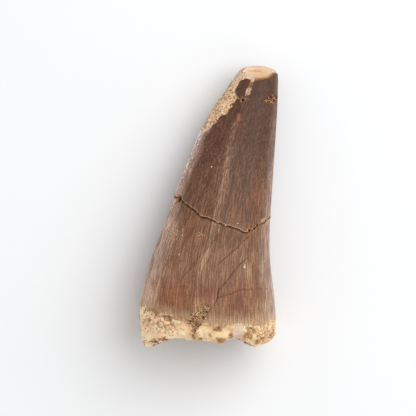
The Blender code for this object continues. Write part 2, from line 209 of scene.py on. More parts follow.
# Marks on the upper side, by kind: how softly they end, then each one's x, y, half width and half length.
MARKS = {
    "dark": (0.3, (-8, -21.75, 0.9, 0.9), (-10.9, -26.4, 1, 0.25), (-8.9, -25.9, 1.1, 0.2),
             (-11.4, -22.2, 0.3, 0.3), (0.3, -25, 0.25, 0.5), (4.4, -25, 0.4, 0.7), (8.1, -23.7, 0.8, 0.35),
             (-2.9, -25.2, 0.4, 0.6)),
    "rust": (0.6, (1.8, -23.9, 1.3, 0.6), (2.5, -26, 1.1, 0.7), (-1.5, -25.7, 0.45, 0.4),
             (7.8, -25, 1.3, 1.2), (9.8, -26.4, 0.9, 0.7), (10.7, -25.8, 0.6, 0.5), (12.2, -25.5, 0.5, 0.7),
             (-7.3, -22.9, 0.9, 0.9), (8.25, 23.6, 0.5, 1), (7.2, 20.8, 0.8, 0.6), (9.6, 26.35, 2.3, 0.3),
             (-9.8, -20.2, 3, 0.8), (-5.6, -21.6, 2.4, 0.8), (-2, -19.6, 2, 1.3)),
    "pale": (0.3, (5.6, -24.6, 1.5, 1.9), (-0.7, -25.3, 0.5, 0.7), (-9.5, -23, 0.3, 0.3),
             (-0.4, -19.8, 0.8, 0.35), (7.75, 22.2, 0.42, 0.7), (6.96, -11.84, 0.24, 0.45)),
    "speckled": (0.5, (-10.4, -21.7, 3.2, 2.5), (10.8, -24.6, 3, 2.4), (-8.2, -23.8, 2.4, 1.4),
                 (-9.7, -26.2, 2.4, 0.8)),
    "tan": (0.5, (11.2, -3.1, 1.2, 0.7), (12.1, -2, 0.6, 1.1), (8.2, -4.7, 0.9, 0.5),
            (-6.6, 1.7, 0.6, 0.5)),
    "red": (0.7, (-6.2, -17.6, 4.6, 3.4), (0.4, -16.9, 3.6, 1.8), (6, -18.3, 3, 4.2),
            (-2.2, -19.9, 1.8, 1.2), (10.1, 1.7, 1.4, 4), (5.95, 17.3, 0.7, 1)),
    "deep": (0.9, (5.2, -18.8, 3.4, 3), (0.2, -16.3, 2.4, 1.6)),
}
MARK_REACH = 0.08  # how far the marks go on over an end, as a share of the way in

# ---- shape functions


def through(table, y):
    """The columns of a table at each y, on a smooth curve through its rows."""
    table = np.array(table)
    station, value = table[:, 0], table[:, 1:]
    slope = np.gradient(value, station, axis=0)
    i = np.clip(np.searchsorted(station, y) - 1, 0, len(station) - 2)
    gap = (station[i + 1] - station[i])[:, None]
    t = (y[:, None] - station[i][:, None]) / gap
    start = value[i] * (1 + 2 * t) + slope[i] * gap * t
    end = value[i + 1] * (3 - 2 * t) + slope[i + 1] * gap * (t - 1)
    return (start * (1 - t) ** 2 + end * t**2).T


def smooth(x):
    x = np.clip(x, 0, 1)
    return x * x * (3 - 2 * x)


def section(y):
    """At each y: the centre's x and z, half the width, and the heights above and below the centre."""
    front, rear, low, high = through(SECTIONS, y)
    centre_z = low + WIDEST * (high - low)
    return (front + rear) / 2, centre_z, (rear - front) / 2, high - centre_z, centre_z - low


def sound_radius(turn, y):
    """From the centre to the unchipped skin, with its long flats."""
    _, _, half, above, below = section(y)
    tall = np.where(np.sin(turn) > 0, above, below)
    curve = np.abs(np.cos(turn) / half) ** SQUARENESS + np.abs(np.sin(turn) / tall) ** SQUARENESS
    ridges = np.radians(np.array(RIDGES))
    ridges = np.append(ridges, ridges[0] + FULL_TURN)
    place = (turn - ridges[0]) % FULL_TURN + ridges[0]
    share = np.interp(place, ridges, np.arange(len(ridges)))
    sag = np.sqrt(np.sin(math.pi * share) ** 2 + RIDGE_ROUND) - math.sqrt(RIDGE_ROUND)
    return curve ** (-1 / SQUARENESS) - FLAT_SAG * sag * half / FLAT_SAG_AT


def turns(points, side):
    """(x, y) points seen from above or below, as (turn, y) places on the skin."""
    x, y = np.array(points).T
    centre_x, _, half, above, below = section(y)
    across = np.clip((x - centre_x) / half, -1, 1)
    tall = above if side == UPPER else below
    up = side * tall * (1 - np.abs(across) ** SQUARENESS) ** (1 / SQUARENESS)
    return np.stack([np.arctan2(up, across * half) % FULL_TURN, y], axis=1)


def loop(line):
    """A line round the tooth as (turn, y) places, by rising turn."""
    places = np.concatenate([turns(line[0], UPPER), turns(line[1], LOWER)])
    return places[np.argsort(places[:, 0])]


def height_on(line, turn):
    places = loop(line)
    return np.interp(turn, places[:, 0], places[:, 1], period=FULL_TURN)


def closed(places):
    return np.concatenate([places, places[:1]])


def distance(places, at):
    """From points of the skin, at (turn, y, radius), to a run of (turn, y) places, over the skin."""
    turn, y, radius = at
    nearest = np.full(len(turn), np.inf)
    for (turn_a, y_a), (turn_b, y_b) in zip(places, places[1:]):
        from_a = (turn - turn_a + math.pi) % FULL_TURN - math.pi
        run = ((turn_b - turn_a + math.pi) % FULL_TURN - math.pi) * radius
        rise = y_b - y_a
        along = (from_a * radius * run + (y - y_a) * rise) / np.maximum(run**2 + rise**2, TINY)
        along = np.clip(along, 0, 1)
        gap = np.hypot(from_a * radius - along * run, y - y_a - along * rise)
        nearest = np.minimum(nearest, gap)
    return nearest


def beyond(line, at):
    """How far past a line round the tooth each point is, towards the tip."""
    turn, y, _ = at
    away = distance(closed(loop(line)), at)
    return np.sign(y - height_on(line, turn)) * away


def inside(outline, at, side=UPPER):
    """How far inside a patch each point is. It is negative outside."""
    turn, y, _ = at
    places = closed(turns(outline, side))
    within = np.zeros(len(turn), bool)
    for (turn_a, y_a), (turn_b, y_b) in zip(places, places[1:]):
        if y_a != y_b:
            crossing = turn_a + (y - y_a) * (turn_b - turn_a) / (y_b - y_a)
            within ^= ((y_a > y) != (y_b > y)) & (turn < crossing)
    return np.where(within, 1, -1) * distance(places, at)


def grain(points, size, seed):
    """Noise from -1 to 1, with lumps of the given size, or of a size for each axis."""
    scaled = points / np.array(size) + np.array((seed, 0, 0))
    return np.array(list(map(noise.noise, scaled.tolist())))


def lumps(points, height, size, seed):
    finer = grain(points, size / FINER, seed + FINER_SEED)
    return height * (grain(points, size, seed) + FINER_SHARE * finer)


def layers(points, name, where=None):
    """One of the noises at each point, and 0 outside where."""
    first, *table = NOISES[name]
    total = np.zeros(len(points))
    chosen = np.ones(len(points), bool) if where is None else where
    for seed, (height, size) in enumerate(table, first):
        total[chosen] += height * grain(points[chosen], size, seed)
    return total


def unrolled(turn, y):
    """Places for noise that runs along the crown, in step with the skin at any turn."""
    return np.stack([np.cos(turn) * STRIATION_RADIUS, y, np.sin(turn) * STRIATION_RADIUS], axis=1)


def striations(turn, y):
    ridges = np.zeros(len(turn))
    for seed, (height, width, length) in enumerate(STRIATIONS, STRIATION_SEED):
        ridges += height * grain(unrolled(turn, y), (width, length, width), seed)
    return ridges


def nearest_line(lines, at):
    """How far each point is from the nearest of several lines on the upper side."""
    nearest = np.full(len(at[0]), FAR)
    for points in lines:
        nearest = np.minimum(nearest, distance(turns(points, UPPER), at))
    return nearest


def hollows(pits, at):
    """How deep the pits are at each point, and how near each point is to a pit's middle."""
    depth, near = np.zeros((2, len(at[0])))
    for x_pit, y_pit, reach, hollow in pits:
        place = np.repeat(turns(((x_pit, y_pit),), UPPER), 2, axis=0)
        here = smooth(1 - distance(place, at) / reach)
        depth += hollow * here
        near = np.maximum(near, here)
    return depth, near


def placed(turn, y, radius):
    """Points this far from the centres of their sections."""
    centre_x, centre_z, *_ = section(y)
    return np.stack([centre_x + np.cos(turn) * radius, y, centre_z + np.sin(turn) * radius], axis=1)


def marks(turn, sound):
    """How strong each kind of mark is at each point."""
    upper = np.sin(turn) > 0
    x, y = sound[upper, 0], sound[upper, 1]
    wander = layers(sound[upper], "marks")
    fields = {}
    for kind, (softness, *spots) in MARKS.items():
        inmost = np.full(len(x), -FAR)
        for x_spot, y_spot, across, along in spots:
            inmost = np.maximum(inmost, 1 - np.hypot((x - x_spot) / across, (y - y_spot) / along))
        fields[kind] = np.zeros(len(turn))
        fields[kind][upper] = smooth((inmost + wander) / softness)
    return fields


def worn_areas(at, sound):
    """How far inside the bare dentine, the root, the scar and the gash each point is."""
    bare = np.minimum(beyond(FLAKE, at), -inside(ISLAND, at))
    bare = np.minimum(bare, -inside(TIP_RIM, at, LOWER) - TIP_RIM_SPREAD)
    areas = {"bare": bare, "root": -beyond(MARGIN, at), "scar": inside(SCAR, at), "gash": inside(GASH, at)}
    for name, area in areas.items():
        area += layers(sound, name + " edge", np.abs(area) < EDGE_NEAR[name])
    return areas


def root_lumps(turn, sound, rooty, fields):
    """The lumps of the root, with the finer ones low where the upper side isn't broken."""
    coarse = np.zeros(len(turn))
    coarse[rooty] = lumps(sound[rooty], *ROOT_LUMPS)
    broken = np.maximum(fields["dark"], fields["speckled"])
    broken = np.where(np.sin(turn) > 0, SMOOTH_ROOT + (1 - SMOOTH_ROOT) * broken, 1)
    return coarse + layers(sound, "root", rooty) * broken


def faint_lines(at, sound):
    """How far each point is from the nearest faint line, or from the ring in the matrix."""
    swirl = np.abs(np.hypot(sound[:, 0] - SWIRL_X, sound[:, 1] - SWIRL_Y) - SWIRL_RADIUS)
    swirl = np.where(np.sin(at[0]) > 0, swirl, FAR)
    return np.minimum(nearest_line(FAINT_LINES, at), swirl)


def relief(turn, y, radius, sound):
    """How far the skin lies under the sound tooth at each point, and the fields that colour it."""
    at = turn, y, radius
    fields = marks(turn, sound)
    areas = worn_areas(at, sound)
    bare, root, scar, gash = areas.values()
    sandy = (bare > 0) | (scar > 0) | (gash > 0)
    sand = layers(sound, "bare", sandy) + layers(sound, "sand", sandy)
    pit_depth, pit = hollows(PITS, at)
    root_depth, root_pit = hollows(ROOT_PITS, at)
    hair = nearest_line(HAIRLINES, at)

    depth = smooth(bare / FLAKE_STEP) * (FLAKE_DEPTH + sand)
    depth += smooth(root / MARGIN_STEP) * (MARGIN_DEPTH + root_lumps(turn, sound, root > 0, fields))
    depth += smooth(scar / PATCH_STEP) * (SCAR_DEPTH + sand)
    depth += smooth(gash / PATCH_STEP) * (GASH_DEPTH + sand)
    depth += pit_depth + root_depth
    depth += HAIRLINE_DEPTH * smooth(1 - hair / HAIRLINE_WIDTH)
    enamel = 1 - smooth(np.maximum(bare, root) / FLAKE_STEP)
    depth -= striations(turn, y) * enamel

    fields["dark"] = np.maximum(fields["dark"], root_pit)
    fields.update(areas, pit=pit, hair=hair, faint=faint_lines(at, sound))
    return depth, fields


def wear_down(turn, y, radius):
    """The radii under the worn facet of the tip, its edge rounded, and how far each was worn down."""
    centre_x, centre_z, *_ = section(y)
    facet = FACET_Z - FACET_FALL * (y - FACET_Y) - FACET_TILT * (centre_x - FACET_X)
    rise = np.sin(turn) + FACET_TILT * np.cos(turn)  # of a ray over the facet's plane, for each millimetre
    to_facet = np.maximum((facet - centre_z) / np.maximum(rise, LEAST_RISE), THINNEST)
    to_facet = np.where(rise > 0, to_facet, FAR + radius)
    worn = np.minimum(radius - to_facet, FAR)
    round_off = np.maximum(FACET_ROUND - np.abs(worn), 0)
    return np.minimum(radius, to_facet) - round_off**2 / (4 * FACET_ROUND), worn


# ---- the fragments

BASE_END, TIP_END = "base", "tip"
SHARP = math.radians(55)


def line_height(line, turn):
    """The y of a row line at each turn. A number stands for a level line. A break wanders a little."""
    if isinstance(line, float):
        return np.full(len(turn), line)
    y = height_on(line, turn)
    if line in (BREAK, TIP_BREAK):
        y += layers(unrolled(turn, y * 0), "break edge")
    return y


class Fragment:
    """A piece of the tooth: a sphere whose rows are first an end, then the skin, then the other end."""

    def __init__(self, name, segments, low_end, low_rows, stretches, high_rows, high_end):
        self.name, self.segments = name, segments
        self.low_end, self.high_end = low_end, high_end
        self.stretches = stretches  # (line, next line, rows between them, crowding beside both)
        self.low_rows, self.high_rows = low_rows, high_rows
        self.rows = low_rows + sum(stretch[2] for stretch in stretches) + high_rows

    def skin_y(self, turn, row):
        """The y at which each point's row meets the skin, with the gap of a break taken off."""
        first, last = self.stretches[0][0], self.stretches[-1][1]
        low = line_height(first, turn) + BREAKS.get(self.low_end, (0,))[0] / 2
        high = line_height(last, turn) - BREAKS.get(self.high_end, (0,))[0] / 2
        y = np.where(row <= self.low_rows, low, high)
        start = self.low_rows
        for line_a, line_b, rows, crowding in self.stretches:
            here = (row >= start) & (row <= start + rows)
            t = (row[here] - start) / rows
            t = t - crowding * np.sin(FULL_TURN * t) / FULL_TURN
            a = low[here] if line_a is first else line_height(line_a, turn[here])
            b = high[here] if line_b is last else line_height(line_b, turn[here])
            y[here] = a + (b - a) * t
            start += rows
        return y, low, high

    def worn_edges(self, sound, from_low, from_high):
        """How far the edges beside a break are worn down."""
        depth = np.zeros(len(sound))
        for kind, from_edge in ((self.low_end, from_low), (self.high_end, from_high)):
            if kind in BREAKS:
                _, drop, reach = BREAKS[kind]
                lip = smooth(1 - from_edge / reach)
                chipped = 1 + layers(sound, "chipping", lip > 0)
                depth += drop * lip * np.clip(chipped, LEAST_CHIPPED, MOST_CHIPPED)
        return depth

    def worn_skin(self, turn, y, low, high):
        """How far the skin is from its sections' centres, and the fields that colour it."""
        radius = sound_radius(turn, y)
        sound = placed(turn, y, radius)
        depth, fields = relief(turn, y, radius, sound)
        # Pale enamel at the edges, with a painted reflection of the floor over it.
        fields["pale_edge_and_sheen"] = pale_edge(sound)
        radius -= depth + self.worn_edges(sound, y - low, high - y)
        radius -= RIM_ROUNDING * (1 - smooth((y - height_on(RIM, turn)) / RIM_REACH))
        radius, fields["worn"] = wear_down(turn, y, radius)
        return radius, fields

    def points(self, turn, row):
        """The places of all points, and the fields that colour them."""
        y, low, high = self.skin_y(turn, row)
        radius, fields = self.worn_skin(turn, y, low, high)
        on_low, on_high = row < self.low_rows, row > self.rows - self.high_rows
        inward = np.where(on_low, row / self.low_rows, 1)
        inward = np.where(on_high, (self.rows - row) / self.high_rows, inward)
        for on_end, kind in ((on_low, self.low_end), (on_high, self.high_end)):
            if kind != TIP_END:
                middle = np.average(y[on_end])
                y[on_end] = middle + (y[on_end] - middle) * smooth(inward[on_end])
        points = placed(turn, y, radius * inward)
        self.roughen(points, inward, on_low, self.low_end)
        self.roughen(points, inward, on_high, self.high_end)
        points[:, 2] = np.maximum(points[:, 2], 0)

        fields["end"] = np.where(on_low | on_high, 1 - inward, 0)
        for kind in MARKS:
            fields[kind] *= smooth(1 - fields["end"] / MARK_REACH)
        fields["lip"] = np.where(self.low_end == GLUED_END, y - low, FAR)
        fields["edge"] = np.where(self.high_end == GLUED_END, high - y, FAR)
        return points, fields

    @staticmethod
    def roughen(points, inward, on_end, kind):
        """Gives an end its own shape."""
        here = points[on_end]
        far_in = 1 - inward[on_end]
        if kind == BASE_END:
            here[:, 1] += HOLLOW_DEPTH * smooth(far_in / HOLLOW_EDGE)
            rough = lumps(here, *END_LUMPS) + layers(here, "base end")
            here[:, 1] += rough * smooth(far_in / END_EDGE)
        if kind in BREAKS:
            flat = here * np.array((1, 0, 1))
            here[:, 1] += layers(flat, "break") * smooth(far_in / END_EDGE)
        if kind == TIP_END:
            here[:, 1] += TIP_BULGE * (1 - inward[on_end] ** 2)
            here[:, 2] = TIP_CENTRE + (here[:, 2] - TIP_CENTRE) * inward[on_end]
        points[on_end] = here

    def faces(self):
        """The faces between the rows. Point 0 is the low end's middle, and the last is the high end's."""
        ring = np.arange(self.segments)
        after = (ring + 1) % self.segments
        last = 1 + (self.rows - 2) * self.segments
        faces = [(0, 1 + a, 1 + b) for a, b in zip(ring, after)]
        for start in range(1, last, self.segments):
            low, high = start + ring, start + after
            faces += np.stack([low, low + self.segments, high + self.segments, high], axis=1).tolist()
        faces += [(last + self.segments, last + b, last + a) for a, b in zip(ring, after)]
        return faces

    def build(self):
        around = np.arange(self.segments) * FULL_TURN / self.segments
        turn = np.concatenate([[0], np.tile(around, self.rows - 1), [0]])
        row = np.concatenate([[0], np.repeat(np.arange(1, self.rows), self.segments), [self.rows]])
        points, fields = self.points(turn, row)
        self.skin = Skin(points[1:-1].reshape(self.rows - 1, self.segments, 3), fields)
        mesh = bpy.data.meshes.new(self.name)
        mesh.from_pydata(points * MM, [], self.faces())
        mesh.shade_smooth()
        mesh.set_sharp_from_angle(angle=SHARP)
        fields["lengthwise"] = unrolled(turn, points[:, 1])
        fields["streak"] = streaks(points)
        for name, values in fields.items():
            add_field(mesh, name, values)
        mesh.update()
        return show(mesh, TOOTH_MATERIAL)


class Skin:
    """A fragment's points with their normals and the steps to the next ones, their areas and fields."""

    def __init__(self, grid, fields):
        across = (np.roll(grid, -1, axis=1) - np.roll(grid, 1, axis=1)) / 2
        along = np.gradient(grid, axis=0)
        normal = np.cross(along, across)
        size = np.linalg.norm(normal, axis=2)
        normal /= np.maximum(size, TINY)[:, :, None]
        self.places = np.stack([grid, normal, across, along]).reshape(4, -1, 3)
        self.areas = size.ravel()
        self.fields = {name: values[1:-1] for name, values in fields.items()}


# Its strips are pale enamel with a painted reflection of the bright floor over them.
def pale_edge(sound):
    """How near each point is to the front edge, or to the rear edge at less strength."""
    x, y = sound[:, 0], sound[:, 1]
    centre_x, centre_z, half, *_ = section(y)
    width = np.interp(y, *zip(*PALE_EDGE)) + layers(sound, "pale edge")
    front = np.clip(1 - (x - centre_x + half) / (PALE_SPREAD * width), 0, 1)
    front *= smooth((FRONT_PALE_TO - y) / FRONT_PALE_FADE)
    rear = np.clip(1 - (centre_x + half - x) / (PALE_SPREAD * width), 0, 1)
    over = sound[:, 2] - centre_z + PALE_UNDER + layers(sound, "pale under")
    above = smooth(over / PALE_FADE)
    return np.maximum(front, np.interp(y, *zip(*REAR_PALENESS)) * rear) * above


def add_field(mesh, name, values):
    """Keeps a value, or three, for each point of a mesh, which its material reads by name."""
    kind, key = ("FLOAT", "value") if values.ndim == 1 else ("FLOAT_VECTOR", "vector")
    mesh.attributes.new(name, kind, "POINT").data.foreach_set(key, values.ravel())


def show(mesh, material):
    """Puts a mesh in the scene as a piece of the tooth."""
    mesh.materials.append(material)
    piece = bpy.data.objects.new(mesh.name, mesh)
    bpy.context.scene.collection.objects.link(piece)
    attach(piece, "root")
    return piece


def streaks(points):
    """How pale each point is for lying on a crest's streak."""
    pale = np.zeros(len(points))
    for line, width, strength in STREAKS:
        x, y = np.array(line[::-1]).T
        across = points[:, 0] - np.interp(points[:, 1], y, x)
        ends = smooth((points[:, 1] - y[0]) / STREAK_FADE) * smooth((y[-1] - points[:, 1]) / STREAK_FADE)
        pale += strength * ends * np.exp(-((across / width) ** 2)) * (points[:, 2] > UPPER_FROM)
    return pale


# ---- sand and glue

GRAIN_SINK = 0.25  # share of a grain's radius by which its middle stands over the skin
GRAIN_SQUASH, GRAIN_CORNERS = (0.55, 1.15), (0.85, 1.15)  # the range of each axis, and of each corner
HALF_STEP = (-0.5, 0.5)  # how far a grain strays from its point, in steps to the next ones


def scatter(name, fragments, wanted, count, sizes, tones, seed):
    """A mesh of grains set in the skin, as thick as wanted says for each fragment's fields and points."""
    random = np.random.default_rng(seed)
    skins = [fragment.skin for fragment in fragments]
    points, normals, across, along = np.concatenate([skin.places for skin in skins], axis=1)
    share = np.concatenate([wanted(skin.fields, skin.places[0]) * skin.areas for skin in skins])
    chosen = random.choice(len(points), count, p=share / share.sum())
    size = random.uniform(*sizes, count)
    middles = points[chosen] + normals[chosen] * (size * GRAIN_SINK)[:, None]
    middles += across[chosen] * random.uniform(*HALF_STEP, (count, 1))
    middles += along[chosen] * random.uniform(*HALF_STEP, (count, 1))
    add_grains(name, middles, size, random.uniform(*tones, count), random)


def add_grains(name, middles, size, tone, random):
    """A mesh of angular grains of these sizes, in millimetres."""
    built = bmesh.new()
    bmesh.ops.create_icosphere(built, subdivisions=1, radius=1)
    unit = np.array([vertex.co for vertex in built.verts])
    faces = np.array([[vertex.index for vertex in face.verts] for face in built.faces])
    built.free()
    count = len(middles)
    spin, _ = np.linalg.qr(random.normal(size=(count, 3, 3)))
    shape = unit * random.uniform(*GRAIN_SQUASH, (count, 1, 3))
    shape = shape * random.uniform(*GRAIN_CORNERS, (count, len(unit), 1))
    points = (shape @ spin) * size[:, None, None] + middles[:, None, :]
    points[:, :, 2] = np.maximum(points[:, :, 2], 0)
    mesh = bpy.data.meshes.new(name)
    corners = (faces + np.arange(count)[:, None, None] * len(unit)).reshape(-1, 3)
    mesh.from_pydata(points.reshape(-1, 3) * MM, [], corners.tolist())
    add_field(mesh, "tone", np.repeat(tone, len(unit)))
    mesh.update()
    show(mesh, GRAIN_MATERIAL)


# ---- the material

LIT = 1.3  # how bright white looks where it faces up under this stage's light
HAZE = 0.025  # what the surface reflects of the room, over its own colour
CURVE_START, CURVE_POWER = 0.055, 2.4  # of the screen's own curve from light to numbers


def seen(red, green, blue):
    """The shader's colour for a surface that looks like this, 0 to 255, in the picture."""
    looks = (((c / 255 + CURVE_START) / (1 + CURVE_START)) ** CURVE_POWER for c in (red, green, blue))
    return tuple(max(0, look - HAZE) / LIT for look in looks) + (1,)


class Shader:
    """A material whose nodes are made and joined by short calls."""

    def __init__(self, name):
        self.material = bpy.data.materials.new(name)
        self.material.use_nodes = True
        self.tree = self.material.node_tree

    def feed(self, socket, value):
        """A value is a socket, a number, a colour, or the name of a field that the mesh keeps."""
        if isinstance(value, str):
            value = self.field(value)
        if isinstance(value, bpy.types.NodeSocket):
            self.tree.links.new(value, socket)
        else:
            socket.default_value = value

    def fill(self, node, values):
        """Feeds a node's inputs, given by name, spaces as underscores."""
        for key, value in values.items():
            self.feed(node.inputs[key.replace("_", " ")], value)
        return node

    def put(self, kind, settings=None, **values):
        node = self.tree.nodes.new("ShaderNode" + kind)
        for key, value in (settings or {}).items():
            setattr(node, key, value)
        return self.fill(node, values)

    def coat(self, **values):
        """The finished material, with these values for its surface."""
        self.fill(self.tree.nodes["Principled BSDF"], values)
        return self.material

    def field(self, name, output="Fac"):
        return self.put("Attribute", {"attribute_name": name}).outputs[output]

    def pair(self, kind, operation, first, second):
        """What an operation of two inputs gives."""
        node = self.put(kind, {"operation": operation})
        self.feed(node.inputs[0], first)
        self.feed(node.inputs[1], second)
        return node.outputs[0]

    def place(self):
        """Where on the tooth each point is, in millimetres."""
        return self.pair("VectorMath", "MULTIPLY", self.put("TexCoord").outputs["Object"], (1 / MM,) * 3)

    def math(self, operation, first, *others):
        """The operation on the first value and the second, then on that and the third, and so on."""
        for other in others:
            first = self.pair("Math", operation, first, other)
        return first

    def times(self, *values):
        return self.math("MULTIPLY", *values)

    def step(self, value, start, end, low=0, high=1):
        """From low to high as value goes from start to end, with a smooth start and stop."""
        node = self.put("MapRange", {"interpolation_type": "SMOOTHSTEP"}, Value=value,
                        From_Min=start, From_Max=end, To_Min=low, To_Max=high)
        return node.outputs[0]

    def mix(self, share, first, second, blend="MIX"):
        node = self.put("Mix", {"data_type": "RGBA", "blend_type": blend})
        for place, value in ((0, share), (6, first), (7, second)):  # its inputs for colours
            self.feed(node.inputs[place], value)
        return node.outputs[2]

    def over(self, colour, *layers):
        """The colour with several layers laid over it in turn, each given as (share, colour)."""
        for share, layer in layers:
            colour = self.mix(share, colour, layer)
        return colour

    def tint(self, colour, by, share=1):
        return self.mix(share, colour, by, "MULTIPLY")

    def ramp(self, value, *stops):
        node = self.put("ValToRGB", Fac=value)
        elements = node.color_ramp.elements
        while len(elements) < len(stops):
            elements.new(1)
        for element, (place, colour) in zip(elements, stops):
            element.position, element.color = place, colour
        return node.outputs[0]

    def noise(self, vector, size, detail):
        """Noise about 0.5, with lumps of the given size, or of a size for each axis."""
        size = size if isinstance(size, tuple) else (size,) * 3
        vector = self.pair("VectorMath", "MULTIPLY", vector, tuple(1 / s for s in size))
        node = self.put("TexNoise", Vector=vector, Scale=1, Detail=detail, Roughness=0.55)
        return node.outputs["Fac"]

    def cells(self, vector, size):
        """How far each place is from the nearest edge between uneven cells of the given size."""
        bend = self.put("TexNoise", Vector=vector, Scale=1 / size, Detail=2).outputs["Color"]
        node = self.put("TexVoronoi", {"feature": "DISTANCE_TO_EDGE"},
                        Vector=self.pair("VectorMath", "ADD", vector, bend), Scale=1 / size)
        return node.outputs["Distance"]


# The sizes of the material's noises: for every axis, or across, along and up.
FINE, MIDDLING, COARSE = 0.3, 0.75, 2.4
GOLD_PATCH, CRACK_PATCH, VEIN_CELL, SPALL_GRAIN, GRANULE = 1.6, 0.9, 0.9, 0.42, 0.4
CLOUD, STRAND, TEAR = (3.4, 8, 3.4), (1, 7, 1), (0.5, 0.3, 0.5)
GRAIN_MOTTLE = 0.08
THREAD, TIP_THREAD = (0.17, 2.8, 0.17), (0.26, 0.7, 0.26)
BUMP = 0.03  # millimetres, of the threads and of the fine noise
WIDE, NARROW = (0.3, 0.7), (0.35, 0.65)  # the spans of a noise that most steps follow
THREAD_CHANGE = (-15, -8)  # the y from which the threads get more distinct, and to which

# The enamel from the root to the tip, as (y, red, green, blue).
ENAMEL = (
    (-22.6, 186, 148, 116),
    (-20.5, 162, 122, 92),
    (-17.5, 152, 110, 83),
    (-13, 150, 113, 90),
    (-6.5, 139, 102, 79),
    (0, 125, 91, 72),
    (6, 117, 86, 70),
    (14, 107, 77, 64),
    (24, 99, 73, 60),
)
# The other colours as they look in the picture, and tints, which multiply the colour under them.
RED_BAND = seen(156, 107, 83)
DEEP = (0.8, 0.75, 0.71, 1)
MARGIN_BEIGE = seen(214, 174, 142)
STREAK = seen(172, 136, 116)
STREAK_LOW = seen(198, 160, 130)
# Pale enamel of the edges, with a painted reflection of the floor over it.
PALE_EDGE_AND_SHEEN = seen(178, 146, 128)
PALE_EDGE_AND_SHEEN_LOW = seen(216, 186, 164)
# A painted highlight on the outermost strip of the pale edges.
EDGE_PAINTED_HIGHLIGHT = seen(228, 204, 190)
THREAD_DARK = (0.74, 0.67, 0.61, 1)
THREAD_LIGHT = (1.4, 1.43, 1.45, 1)
SPALL_PINK = seen(250, 214, 190)
SPALL_GOLD = seen(248, 206, 150)
SPALL_DARK = seen(128, 86, 56)
SPALL_LIGHT = seen(255, 232, 200)
WORN_PINK = seen(255, 222, 192)
WORN_CREAM = seen(236, 199, 149)
WORN_EDGE = seen(176, 124, 78)
PEACH = seen(240, 178, 130)
ROOT_CREAM = seen(255, 228, 182)
ROOT_TAN = seen(250, 208, 162)
ROOT_BROWN = seen(176, 124, 84)
# Painted light and shade against the fall of the lamp's light: the front, turned from it, is lightened, the
# rear darkened.
FRONT_PAINTED_LIGHT = (1.16, 1.18, 1.24, 1)
REAR_PAINTED_SHADE = (0.93, 0.92, 0.88, 1)
# A painted sheen: the rear edge is made paler and greyer.
REAR_PAINTED_SHEEN = (1.08, 1.18, 1.33, 1)
# Painted light on the root: its front, turned from the lamp, is made brighter, and the rest a little
# brighter.
ROOT_FRONT_PAINTED_LIGHT = (1.5, 1.55, 1.7, 1)
REAR_LIFT = (1.1, 1.1, 1.1, 1)
PALE = seen(232, 206, 188)
CRACK = seen(84, 50, 34)
HAIR = seen(90, 52, 36)
LIP_TAN = seen(208, 164, 128)
RUST = seen(206, 154, 104)
RUST_DARK = seen(150, 98, 62)
# Sand, and the matter in the gash, from dark to pale.
SAND = (seen(80, 52, 36), seen(136, 94, 64), seen(196, 148, 100), seen(236, 198, 150), PALE)
GASH_COLOURS = (seen(78, 40, 26), seen(146, 88, 58), RUST, seen(214, 172, 138))


class ToothShader(Shader):
    """The tooth's material, with what several of its colours share: noises, and where its grounds lie."""

    def __init__(self):
        super().__init__("tooth")
        self.at = self.place()
        self.x, self.y, _ = self.put("SeparateXYZ", Vector=self.at).outputs
        crown = self.field("lengthwise", "Vector")
        self.rearward = self.put("SeparateXYZ", Vector=crown).outputs[0]
        self.fine = self.noise(self.at, FINE, 3)
        self.middling = self.noise(self.at, MIDDLING, 4)
        self.coarse = self.noise(self.at, COARSE, 4)
        self.clouds = self.noise(crown, CLOUD, 4)
        self.strands = self.noise(crown, STRAND, 4)
        shorter = self.step(self.y, -8, 12, 0, 0.6)
        self.threads = self.mix(shorter, self.noise(crown, THREAD, 2), self.noise(crown, TIP_THREAD, 2))
        self.rusty = self.mix(self.step(self.fine, 0.42, 0.58), RUST_DARK, RUST)
        self.granular = self.ramp(self.noise(self.at, GRANULE, 3), *zip((0.3, 0.42, 0.53, 0.66), SAND))

        ragged = self.math("ADD", "root", self.step(self.fine, *WIDE, -0.3, 0.3),
                           self.step(self.threads, *NARROW, -0.18, 0.18))
        self.on_root = self.step(ragged, -0.2, 0.4)
        self.on_bare = self.step("bare", 0, 0.1)
        self.rough_ground = self.math("MAXIMUM", self.on_root, self.on_bare)


